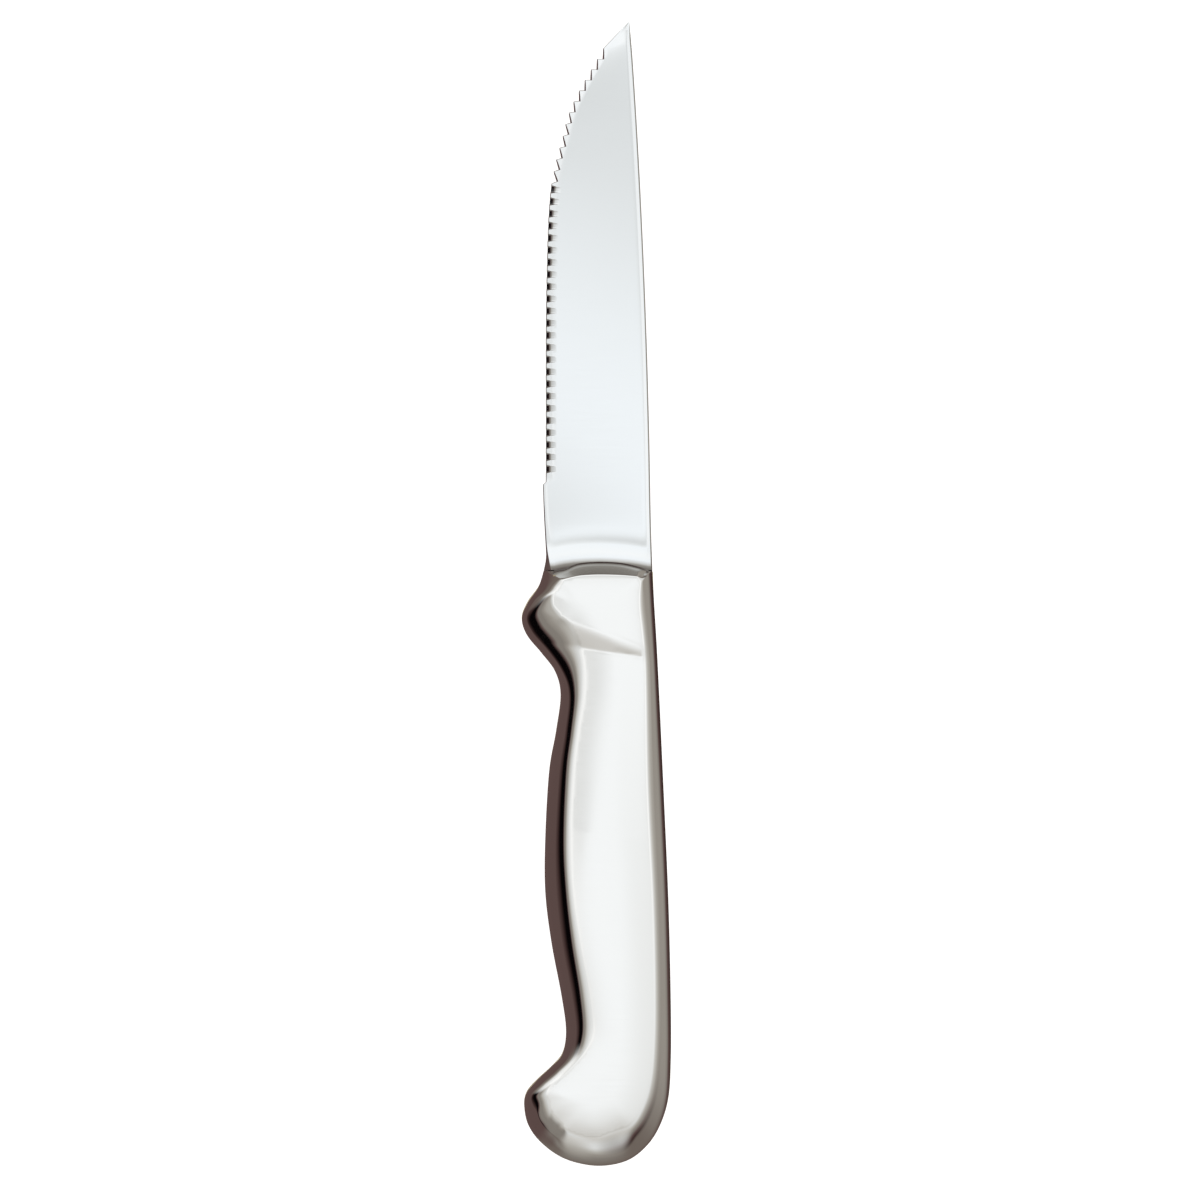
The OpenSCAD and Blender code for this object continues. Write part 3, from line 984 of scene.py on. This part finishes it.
@dataclass
class HollowHandle:
    """The two stamped half shells, and the solder between them. Lengths are in millimetres."""

    place: Place
    handle_length: float = 117.4
    handle_width: float = 29.4
    handle_thickness: float = 13.0
    wall: float = 0.9
    solder_thickness: float = 0.12
    scoop_angle: float = 5.8
    scoop_curve: float = 1.35
    scoop_start: float = 11.6
    scoop_front: float = 3.95
    scoop_rear: float = 34.0
    scoop_slant: float = 18.0
    scoop_taper: float = 0.15
    scoop_fade: int = 4
    crown_height: float = 0.1
    crown_width: float = 6.5
    mouth_gap: float = 0.06

    corner_share: float = 0.375
    curve_steps: int = 12
    rim_steps: int = 28
    lining_steps: int = 8
    face_pitch: float = 0.5
    lining_pitch: float = 4.0
    crease_angle: float = 30.0
    # Each row: a point of the outline and its partner on the face's line, both across from the handle's
    # middle and along from the mouth, as shares of its width and length. The lip's rows close the lines.
    rim_shares: Rows = (
        (-0.352, 0, -0.216, 0.018), (-0.389, 0.028, -0.248, 0.029), (-0.462, 0.055, -0.295, 0.042),
        (-0.5, 0.081, -0.288, 0.06), (-0.466, 0.109, -0.242, 0.075), (-0.365, 0.14, -0.162, 0.096),
        (-0.275, 0.171, -0.081, 0.144), (-0.24, 0.21, -0.069, 0.201), (-0.271, 0.271, -0.108, 0.265),
        (-0.317, 0.338, -0.141, 0.333), (-0.343, 0.449, -0.165, 0.449), (-0.343, 0.54, -0.152, 0.537),
        (-0.301, 0.626, -0.104, 0.622), (-0.235, 0.713, -0.038, 0.708), (-0.204, 0.772, -0.017, 0.769),
        (-0.227, 0.811, -0.075, 0.804), (-0.301, 0.833, -0.209, 0.841), (-0.399, 0.856, -0.299, 0.859),
        (-0.47, 0.878, -0.331, 0.872), (-0.483, 0.902, -0.324, 0.884), (-0.452, 0.934, -0.3, 0.905),
        (-0.358, 0.964, -0.243, 0.92), (-0.204, 0.989, -0.184, 0.937), (0.004, 1, -0.017, 0.948),
        (0.198, 0.992, 0.136, 0.935), (0.332, 0.968, 0.227, 0.925), (0.423, 0.934, 0.288, 0.904),
        (0.481, 0.888, 0.341, 0.868), (0.499, 0.823, 0.37, 0.814), (0.499, 0.722, 0.38, 0.717),
        (0.483, 0.553, 0.366, 0.553), (0.448, 0.352, 0.327, 0.353), (0.41, 0.15, 0.314, 0.154),
        (0.388, 0.057, 0.281, 0.06), (0.375, 0, 0.292, 0.022),
    )
    lip_shares: Rows = (
        (0.345, -0.001, 0.278, 0.0135), (0.29, -0.006, 0.25, 0.0115), (0.158, -0.013, 0.148, 0.0098),
        (0.01, -0.0145, 0.02, 0.0093), (-0.124, -0.0115, -0.085, 0.0105), (-0.22, -0.003, -0.145, 0.0125),
        (-0.3, -0.001, -0.19, 0.0155),
    )
    # Each row: the place along the rim, counted in rows of the tables above, how tight the foot is, where
    # the foot and the shoulder end, the slopes there and at the face in degrees, and how the slope falls.
    rim_rounds: Rows = (
        (0, 0.6, 0.75, 0.89, 48, 24, 4, 1), (1, 0.6, 0.48, 0.78, 45, 24, 8, 1),
        (2, 0.6, 0.33, 0.62, 37, 24, 9, 1.5), (3, 0.6, 0.18, 0.43, 32, 24, 10, 3),
        (4, 0.6, 0.187, 0.4, 32, 24, 9, 3), (5, 0.6, 0.2, 0.4, 32, 24, 6, 2),
        (6, 0.6, 0.225, 0.48, 32, 24, 3.5, 2), (7, 0.6, 0.39, 0.575, 32, 24, 3.5, 3),
        (8, 0.6, 0.467, 0.65, 32, 24, 3.5, 3), (9, 0.6, 0.5, 0.67, 32, 24, 3.5, 3),
        (10, 0.6, 0.49, 0.7, 32, 24, 3.5, 3), (11, 0.6, 0.526, 0.74, 32, 24, 3.5, 3),
        (12, 0.6, 0.479, 0.7, 32, 24, 3.5, 3), (13, 0.6, 0.456, 0.64, 32, 24, 3.5, 3),
        (14, 0.6, 0.454, 0.6, 32, 24, 3.5, 3), (15, 0.6, 0.44, 0.56, 32, 24, 3.5, 2),
        (16, 0.6, 0.5, 0.636, 34, 24, 3, 1), (17, 0.6, 0.45, 0.61, 34, 24, 3, 1),
        (18, 0.6, 0.307, 0.49, 32, 24, 3.5, 1.5), (19, 0.6, 0.42, 0.58, 34, 24, 4, 1.5),
        (19.6, 0.6, 0.5, 0.53, 44, 20, 4, 1), (20.3, 0.6, 0.5, 0.53, 46, 20, 4, 1),
        (21, 0.6, 0.5, 0.54, 45, 20, 4, 1), (22, 0.6, 0.44, 0.64, 37, 22, 5, 1),
        (23, 0.6, 0.46, 0.6, 32, 24, 5, 1), (24, 0.6, 0.37, 0.55, 32, 24, 3, 1),
        (25, 0.6, 0.57, 0.7, 32, 24, 3, 1.5), (26, 0.6, 0.57, 0.72, 32, 24, 2.5, 1.5),
        (34, 0.6, 0.58, 0.73, 32, 24, 2.5, 1.5), (35, 0.92, 0.86, 0.915, 50, 24, 3, 1),
        (40.5, 0.92, 0.86, 0.915, 50, 24, 3, 1), (42, 0.6, 0.75, 0.89, 48, 24, 4, 1),
    )

    @property
    def seam(self) -> float:
        """The height at which a half shell ends, which is half the solder's thickness."""
        return self.solder_thickness / 2

    @property
    def brow(self) -> float:
        """The height at which the rim's rounding meets the face."""
        return self.handle_thickness / 2 - self.crown_height

    def rim(self) -> tuple[np.ndarray, np.ndarray, np.ndarray]:
        """Sample the handle's outline, and the line on the face that the rim rounds over to.

        Returns:
            The two closed lines, from the edge corner of the mouth round the butt, and the direction from
            each point of the outline to its partner on the face.
        """
        rim, lip = np.array(self.rim_shares), np.array(self.lip_shares)
        rows = np.vstack([
            spline(rim, self.curve_steps), spline(np.vstack([rim[-1:], lip, rim[:1]]), self.curve_steps)
        ])
        size = np.array([self.handle_width, -self.handle_length])
        corner = np.array([self.corner_share * self.handle_width, 0])
        outline, face = rows[:, :2] * size - corner, rows[:, 2:] * size - corner
        return outline, face, (face - outline) / np.linalg.norm(face - outline, axis=1)[:, None]

    def rounded(self, start: np.ndarray, face: np.ndarray, top: float, steps: int) -> list[np.ndarray]:
        """Round a wall over from the seam to the face.

        Args:
            start: The wall's line at the seam.
            face: The line where it meets the face.
            top: The height of that line.
            steps: The number of rings between the two.

        Returns:
            The rings, from the seam to the face.
        """
        rounds = np.array(self.rim_rounds)
        at = np.arange(len(start)) / self.curve_steps
        tight, steep_at, easy_at, steep, easy, end, fall = (
            smooth(rounds[:, (0, k)], at) for k in range(1, rounds.shape[1])
        )
        to_shares = np.linalg.norm(face - start, axis=1) / (top - self.seam)
        slopes = tuple(np.tan(np.radians(angle)) * to_shares for angle in (steep, easy, end))
        rings = []
        for t in np.linspace(0, 1, steps + 1):
            across, up = rounding(t, tight, (steep_at, easy_at), slopes, fall)
            rings.append(np.column_stack([mix(start, face, across[:, None]), mix(self.seam, top, up)]))
        return rings

    def scooped(self, points: np.ndarray) -> np.ndarray:
        """Press the thumb scoop into a shell: it sets in gently, ends in a crease and slowly rises again.

        Args:
            points: The shell's points, which are changed.

        Returns:
            The same points.
        """
        slant = math.radians(self.scoop_slant)
        across = points[:, 0] + self.corner_share * self.handle_width
        along = -points[:, 1] - self.scoop_start
        back = along * math.cos(slant) - across * math.sin(slant)
        front_length = self.scoop_front - self.scoop_taper * across
        depth = math.tan(math.radians(self.scoop_angle)) * front_length / self.scoop_curve
        front = np.clip(back / front_length, 0, 1) ** self.scoop_curve
        rear = np.clip(1 - (back - front_length) / self.scoop_rear, 0, 1)
        height = 2 * points[:, 2] / self.handle_thickness
        points[:, 2] -= depth * np.minimum(front, rear) * height**self.scoop_fade
        return points

    def filled(self, line: np.ndarray, first: int, height: float, pitch: float) -> tuple[np.ndarray, list]:
        """Fill a closed line with a face of triangles that is gently crowned along the line.

        Args:
            line: The line's points.
            first: The number of the line's first point in the mesh.
            height: The height of the line.
            pitch: The distance between the points inside.

        Returns:
            The points inside, and the faces, which number those points straight after the line's own.
        """
        count = len(line)
        low, high = line.min(axis=0), line.max(axis=0)
        grid = np.meshgrid(np.arange(low[0], high[0], pitch), np.arange(low[1], high[1], pitch))
        spots = np.column_stack([g.ravel() for g in grid])
        crossed = np.zeros(len(spots), bool)
        near = np.full(len(spots), np.inf)
        for a, b in zip(line, np.roll(line, -1, axis=0)):
            run = b - a
            if run[1]:
                passed = (a[1] > spots[:, 1]) != (b[1] > spots[:, 1])
                crossed ^= passed & (spots[:, 0] < a[0] + (spots[:, 1] - a[1]) * run[0] / run[1])
            share = np.clip((spots - a) @ run / (run @ run), 0, 1)
            near = np.minimum(near, np.linalg.norm(spots - a - share[:, None] * run, axis=1))
        kept = crossed & (near > pitch / 2)
        spots, near = spots[kept], near[kept]
        points = [Vector(p) for p in np.vstack([line, spots]).tolist()]
        result = delaunay_2d_cdt(points, [], [list(range(count))], INSIDE_ONLY, FILL_TOLERANCE)
        origin = [numbers[0] for numbers in result[3]]
        crown = self.crown_height * (1 - np.clip(1 - near / self.crown_width, 0, 1) ** 2)
        faces = [[first + origin[corner] for corner in triangle] for triangle in result[2]]
        return np.column_stack([spots, height + crown]), faces

    def shell(self, side: Side, blade: BladeForging, finish: Material) -> Object:
        """Build one half shell with its scoop and its mouth.

        Args:
            side: Which half it is.
            blade: The blade whose bolster fills the mouth.
            finish: The steel's material.

        Returns:
            The finished piece.
        """
        outline, face, inward = self.rim()
        count = len(outline)
        points, faces = np.zeros((0, 3)), []
        lining = outline + self.wall * inward
        for start, top, steps, pitch in (
            (lining, self.brow - self.wall, self.lining_steps, self.lining_pitch),
            (outline, self.brow, self.rim_steps, self.face_pitch),
        ):
            first = len(points)
            spots, cap = self.filled(face, first + steps * count, top, pitch)
            points = np.vstack([points, *self.rounded(start, face, top, steps), spots])
            faces += loft_faces(steps + 1, count, first) + cap
        faces += [[i, (i + 1) % count, first + (i + 1) % count, first + i] for i in range(count)]
        points = self.scooped(points)
        points[:, 2] *= side.value
        name = side.name.lower()
        made = outward(self.place.mesh(f"{name}_shell", points, faces))
        mouth = blade.body(blade.bolster_stations(), self.mouth_gap)
        worked(made, Work.CUT, worked(mouth, Work.JOIN, blade.root(self.mouth_gap)))
        coated(made, finish)
        return dressed(
            made, f"stamped_{name}_shell", f"{name}_half_shell", self.crease_angle
        )

    def seam_tree(self) -> NodeTree:
        """Build the tree that runs a flat strip of solder along the middle of the shells' edges.

        Returns:
            The geometry tree.
        """
        tree, given = geometry_tree("soldered_seam", {
            "Width": "NodeSocketFloat", "Thickness": "NodeSocketFloat", "Finish": "NodeSocketMaterial",
        })
        add = partial(add_node, tree)
        line = add("GeometryNodeMeshToCurve", {"Mesh": given["Geometry"]})
        level = add("GeometryNodeSetCurveNormal", {"Curve": line}, mode="Z_UP")
        size = {"Width": given["Width"], "Height": given["Thickness"]}
        strip = add("GeometryNodeCurvePrimitiveQuadrilateral", size)
        run = add("GeometryNodeCurveToMesh", {"Curve": level, "Profile Curve": strip, "Fill Caps": True})
        finish_tree(tree, run.outputs[0], given["Finish"])
        return tree

    def solder(self, finish: Material) -> Object:
        """Build the solder between the half shells, from one corner of the mouth round to the other.

        Args:
            finish: The solder's material.

        Returns:
            The finished piece.
        """
        outline, _, inward = self.rim()
        corners = (len(self.rim_shares) - 1) * self.curve_steps + 1
        middle = (outline + inward * self.wall / 2)[:corners]
        edges = [(i, i + 1) for i in range(corners - 1)]
        made = self.place.mesh("seam", np.column_stack([middle, np.zeros(corners)]), [], edges)
        grown(self.seam_tree(), made, {
            "Width": self.wall * MM, "Thickness": self.solder_thickness * MM, "Finish": finish,
        })
        return dressed(outward(made), "soldered_seam", "seam_solder", self.crease_angle)


@dataclass(frozen=True)
class Wall:
    """One side of the studio: where it stands, and how its tones run down from overhead, in degrees."""

    azimuth: float
    tones: tuple[tuple[float, Tone], ...]


# The side with the dark window, whose black band shows along the grip.
DARK_WINDOW = (
    (1.6, ROOF), (3.2, LENS), (6.5, GLARE), (10.5, LENS), (20, MIST), (25, ASH), (31, STONE), (39, STONE),
    (44, BROWN), (48.5, BLACK), (59, BLACK), (67, UMBER), (83, BROWN), (180, BROWN),
)


@dataclass(frozen=True)
class Studio:
    """The plain studio: a white floor, the soft light of its walls and the camera straight above."""

    strength: float = 1.22
    floor_size: float = 4000.0
    floor_drop: float = 0.05
    floor_glow: float = 0.9
    floor_colour: str = "f4f4f4"
    floor_roughness: float = 0.9
    frame_width: float = 236.6
    frame_shift: tuple[float, float] = (0.7, -1.18)
    camera_height: float = 900.0
    sensor_width: float = 36.0
    view_reach: float = 10.0
    walls: tuple[Wall, ...] = (
        Wall(0, (
            (3, ROOF), (6, SHADE), (8, GLARE), (12, GLARE), (16, SHADE), (26, HAZE), (42, MIST),
            (60, ASH), (116, ASH), (132, STONE), (141, BROWN), (155, UMBER), (180, UMBER),
        )),
        Wall(90, (
            (3, ROOF), (4.8, SHADE), (6.8, LENS), (8.5, LENS), (11, SHADE), (14, ROOF), (33, GLARE),
            (50, ROOF), (62, HAZE), (68, ASH), (75, STONE), (88, UMBER), (108, ASH), (180, SLATE),
        )),
        Wall(140, (
            (4, ROOF), (8, SHADE), (14, GLARE), (30, GLARE), (48, SHADE), (58, HAZE), (67, ASH),
            (87, SLATE), (100, SLATE), (118, BROWN), (180, BROWN),
        )),
        Wall(170, DARK_WINDOW),
        Wall(226, DARK_WINDOW),
        Wall(236, (
            (5, ROOF), (10, HAZE), (15, MIST), (24, STONE), (45, STONE), (65, SLATE), (98, STONE),
            (112, SLATE), (180, SLATE),
        )),
        Wall(252, (
            (6, ROOF), (10, HAZE), (13, HAZE), (20, LENS), (34, HAZE), (57, MIST), (92, ASH),
            (112, STONE), (150, SLATE), (180, SLATE),
        )),
        Wall(269, (
            (6.5, ROOF), (8.5, SHADE), (9.5, HAZE), (11, MIST), (13, HAZE), (22, HAZE), (37, LENS),
            (48, LENS), (62, MIST), (75, ASH), (95, STONE), (140, SLATE), (180, SLATE),
        )),
        Wall(306, (
            (8, SHADE), (14, LENS), (22, MIST), (31, ASH), (41, STONE), (54, BROWN), (65, UMBER),
            (78, SLATE), (125, SLATE), (180, BROWN),
        )),
    )

    def light(self) -> None:
        """Build the world, in which each wall blends into the next one round the horizon."""
        world = bpy.data.worlds.new("studio_walls")
        bpy.context.scene.world = world
        add = emptied(world)
        way = add("ShaderNodeTexCoord", {}).outputs["Generated"]
        parts = add("ShaderNodeSeparateXYZ", {0: way}).outputs
        steep = add("ShaderNodeMath", {0: parts["Z"]}, operation="ARCCOSINE")
        drop = add("ShaderNodeMath", {0: steep, 1: math.pi}, operation="DIVIDE")
        turn = add("ShaderNodeMath", {0: parts["Y"], 1: parts["X"]}, operation="ARCTAN2")
        azimuth = add("ShaderNodeMath", {0: turn, 1: 2 * math.pi, 2: 0.0}, operation="WRAP")
        ramps = []
        for wall in self.walls:
            ramp = add("ShaderNodeValToRGB", {"Fac": drop})
            band = ramp.color_ramp
            band.elements[0].color = linear(ROOF.value)
            band.elements[1].position = wall.tones[-1][0] / HALF_TURN
            band.elements[1].color = linear(wall.tones[-1][1].value)
            for angle, tone in wall.tones[:-1]:
                band.elements.new(angle / HALF_TURN).color = linear(tone.value)
            ramps.append(ramp)
        seen = ramps[0].outputs["Color"]
        stops = [wall.azimuth for wall in self.walls] + [2 * HALF_TURN]
        for start, end, ramp in zip(stops, stops[1:], ramps[1:] + ramps[:1]):
            share = add("ShaderNodeMapRange", {
                "Value": azimuth, "From Min": math.radians(start), "From Max": math.radians(end),
            }, interpolation_type="SMOOTHSTEP")
            blend = add("ShaderNodeMix", {0: share, 6: seen, 7: ramp}, data_type="RGBA")
            seen = blend.outputs[2]
        lit = add("ShaderNodeBackground", {"Color": seen, "Strength": self.strength})
        plain = add("ShaderNodeBackground", {"Color": linear(WHITE), "Strength": 1.0})
        to_camera = add("ShaderNodeLightPath", {}).outputs["Is Camera Ray"]
        both = add("ShaderNodeMixShader", {0: to_camera, 1: lit, 2: plain})
        add("ShaderNodeOutputWorld", {"Surface": both})

    def floor(self) -> Object:
        """Lay the pale floor that the knife rests on.

        Returns:
            The floor, which isn't part of the knife.
        """
        half, drop = self.floor_size / 2, -self.floor_drop
        corners = [(x, y, drop) for x, y in ((-half, -half), (half, -half), (half, half), (-half, half))]
        finish = bpy.data.materials.new("pale_floor")
        add = emptied(finish)
        paint = add("ShaderNodeBsdfPrincipled", {
            "Base Color": linear(self.floor_colour), "Roughness": self.floor_roughness,
            "Emission Color": linear(WHITE), "Emission Strength": self.floor_glow,
        })
        add("ShaderNodeOutputMaterial", {"Surface": paint})
        made = coated(ORIGIN.mesh("floor", np.array(corners), [range(len(corners))]), finish)
        made.visible_glossy = False
        return made

    def camera(self, height: float) -> Object:
        """Hang the camera straight above the knife.

        Args:
            height: The height of the knife's outline above the floor, in millimetres.

        Returns:
            The camera.
        """
        data = bpy.data.cameras.new("camera")
        data.sensor_width = self.sensor_width
        data.lens = self.sensor_width * self.camera_height / self.frame_width
        data.clip_end = self.view_reach
        made = added("camera", data)
        made.location = [at * MM for at in (*self.frame_shift, self.camera_height + height)]
        bpy.context.scene.camera = made
        return made

    def develop(self) -> None:
        """Set how the scene's light turns into the picture's tones."""
        view = bpy.context.scene.view_settings
        view.view_transform = "Standard"
        view.look = "None"


# Ground and polished forged steel: a cool grey mirror, almost free of scratches.
BLADE_STEEL = FinishedSteel("polished_forged_stainless_steel", "e7ebee", 0.06, 0.09)
# Stamped and buffed sheet: the same metal, a little warmer in tone, with streaks across the grip.
SHELL_STEEL = FinishedSteel("buffed_stainless_steel_sheet", "ebecec", 0.06, 0.09)
# Silver solder, ground flush: yellower and duller than the steel on both sides of it.
SOLDER = MottledFill("ground_silver_solder", "d9cfb8", "b3a588", 1.0, 0.32, 1.5, 0.005)
# Cutler's cement: chalk in a dark resin, matt and pitted where it trapped air.
CEMENT = MottledFill("cutlers_cement", "a89878", "cfc4a8", 0.0, 0.85, 0.8, 0.15)


def main() -> None:
    """Build the knife piece by piece and the studio round it."""
    logging.basicConfig(level=logging.INFO, format="%(message)s")
    place = Place.from_blade(BladeForging.blade_length)
    blade, handle = BladeForging(place), HollowHandle(place)
    blade.build(handle, BLADE_STEEL.material())
    sheet = SHELL_STEEL.material()
    for side in Side:
        handle.shell(side, blade, sheet)
    handle.solder(SOLDER.material())
    cement = coated(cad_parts["tang_cement"], CEMENT.material())
    LOG.info("%s: kept from the frame", cement.name)
    studio = Studio()
    studio.light()
    studio.floor()
    studio.camera(handle.handle_thickness / 2)
    studio.develop()


if __name__ == "__main__":
    main()
